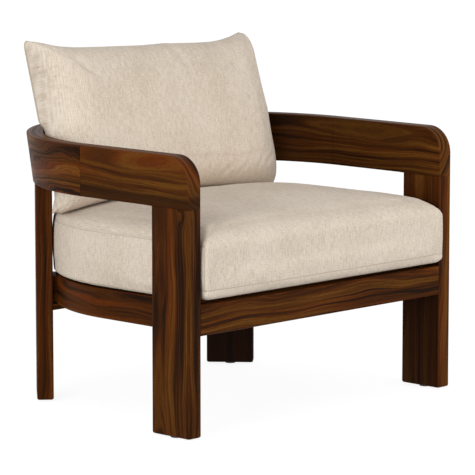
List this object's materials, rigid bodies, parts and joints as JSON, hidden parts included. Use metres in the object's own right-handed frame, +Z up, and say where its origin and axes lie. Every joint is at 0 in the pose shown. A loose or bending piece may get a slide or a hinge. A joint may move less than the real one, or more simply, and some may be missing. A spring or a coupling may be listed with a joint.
{
  "type": "lounge chair",
  "caption": "Low lounge chair with a bent timber arm-and-back band on flat board legs, a slatted seat frame, a loose box seat cushion and a loose back pillow.",
  "frame": {"origin": "on the floor, under the middle of the chair's bounding box", "axes": "+X to the chair's own right-hand side as seen from the front, which is its widest measure; +Y from its front to its back; +Z up"},
  "size_m": [0.812, 0.7504, 0.7753],
  "materials": {
    "wood": "dark stained hardwood, satin lacquer",
    "dark_wood": "dark stained hardwood, thin lacquer",
    "pale_wood": "unstained planed wood",
    "linen": "oatmeal plain-weave linen look, slubbed",
    "zip_cloth": "woven zip tape",
    "steel": "zinc plated",
    "nylon": "moulded nylon"
  },
  "bodies": {
    "timber_frame": {"arm_dowel_left_lower": "pale_wood", "arm_dowel_left_upper": "pale_wood", "arm_dowel_right_lower": "pale_wood", "arm_dowel_right_upper": "pale_wood", "arm_rail_left": "wood", "arm_rail_right": "wood", "back_corner_left": "wood", "back_corner_right": "wood", "back_dowel_left_lower": "pale_wood", "back_dowel_left_upper": "pale_wood", "back_dowel_right_lower": "pale_wood", "back_dowel_right_upper": "pale_wood", "back_rail": "wood", "front_bolt_left": "steel", "front_bolt_right": "steel", "front_glide_left": "nylon", "front_glide_right": "nylon", "front_leg_left": "wood", "front_leg_right": "wood", "front_packer_left": "dark_wood", "front_packer_right": "dark_wood", "rear_batten": "dark_wood", "rear_bolt_left": "steel", "rear_bolt_right": "steel", "rear_glide_left": "nylon", "rear_glide_right": "nylon", "rear_leg_left": "wood", "rear_leg_right": "wood", "rear_packer_left": "dark_wood", "rear_packer_right": "dark_wood", "seat_corner_block_left": "dark_wood", "seat_corner_block_right": "dark_wood", "seat_front_rail": "wood", "seat_rear_rail": "dark_wood", "seat_side_rail_left": "dark_wood", "seat_side_rail_right": "dark_wood", "seat_slat_1": "pale_wood", "seat_slat_2": "pale_wood", "seat_slat_3": "pale_wood", "seat_slat_4": "pale_wood", "seat_slat_5": "pale_wood", "seat_slat_6": "pale_wood", "seat_slat_7": "pale_wood", "slat_ledge_left": "dark_wood", "slat_ledge_right": "dark_wood"},
    "seat_cushion": {"seat_cushion": "linen", "seat_zip_tape": "zip_cloth"},
    "seat_zip_slider": {"seat_zip_slider": "steel"},
    "back_pillow": {"back_cushion": "linen"}
  },
  "joints": [
    {"name": "seat_cushion_lift", "type": "slide", "parent": "timber_frame", "child": "seat_cushion", "axis": [0, 0, 1], "range_m": [0, 0.18]},
    {"name": "back_pillow_lift", "type": "slide", "parent": "seat_cushion", "child": "back_pillow", "axis": [0, 0, 1], "range_m": [0, 0.25]},
    {"name": "seat_zip", "type": "hinge", "parent": "seat_cushion", "child": "seat_zip_slider", "pos_m": [0, -0.05121, 0.351], "axis": [0, 0, 1], "range_deg": [-56, 0]}
  ]
}
